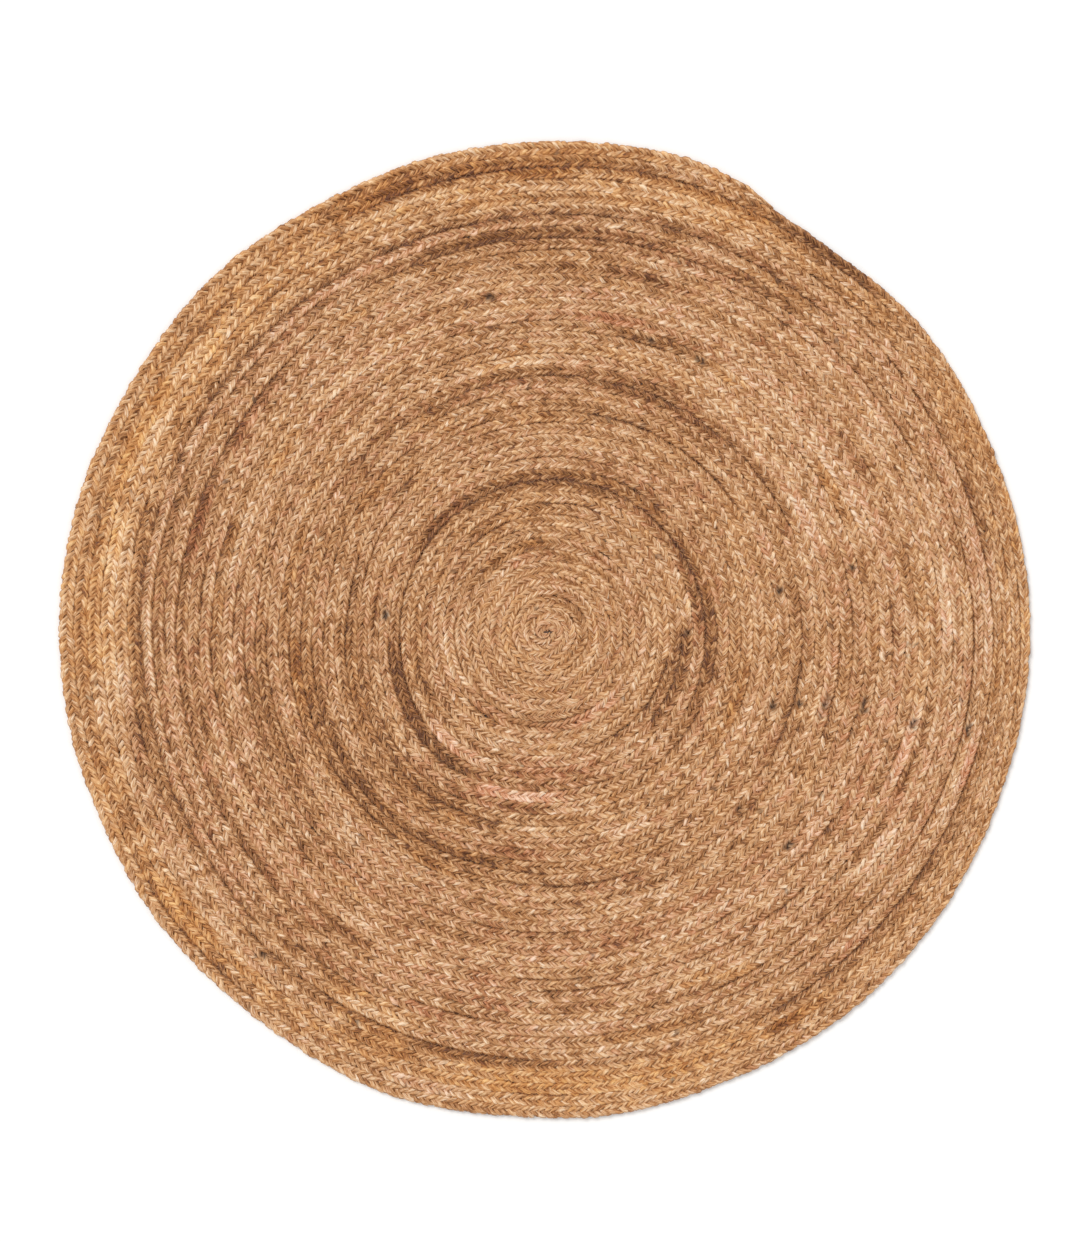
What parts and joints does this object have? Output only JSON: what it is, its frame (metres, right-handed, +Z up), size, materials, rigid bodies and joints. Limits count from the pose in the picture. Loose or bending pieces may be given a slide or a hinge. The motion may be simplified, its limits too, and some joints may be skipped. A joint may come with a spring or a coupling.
{
  "type": "round braided area rug",
  "caption": "Round flat area rug: one long flat jute braid coiled from the middle and zigzag-sewn turn to turn, with a tapered, tacked tail.",
  "frame": {"origin": "middle of the rug on the floor: the centre of its bounding box's lowest face", "axes": "+Z up out of the floor, out of the rug's face; +X to the right and +Y to the top of the rug as seen from straight above"},
  "size_m": [1.1949, 1.2002, 0.009],
  "materials": {
    "jute_braid": "natural undyed jute, hand-plaited, matt with a faint fibre sheen",
    "sewing_thread": "natural twisted sewing thread, matt"
  },
  "bodies": {
    "root": {"braid_length_01": "jute_braid", "braid_length_02": "jute_braid", "braid_length_03": "jute_braid", "braid_length_04": "jute_braid", "braid_length_05": "jute_braid", "braid_length_06": "jute_braid", "braid_length_07": "jute_braid", "braid_length_08": "jute_braid", "braid_length_09": "jute_braid", "braid_length_10": "jute_braid", "braid_length_11": "jute_braid", "braid_length_12": "jute_braid", "braid_length_13": "jute_braid", "braid_length_14": "jute_braid", "tail_end": "jute_braid", "tail_tack": "sewing_thread", "needle_thread_1": "sewing_thread", "needle_thread_2": "sewing_thread", "needle_thread_3": "sewing_thread", "bobbin_thread_1": "sewing_thread", "bobbin_thread_2": "sewing_thread", "bobbin_thread_3": "sewing_thread"}
  },
  "joints": []
}
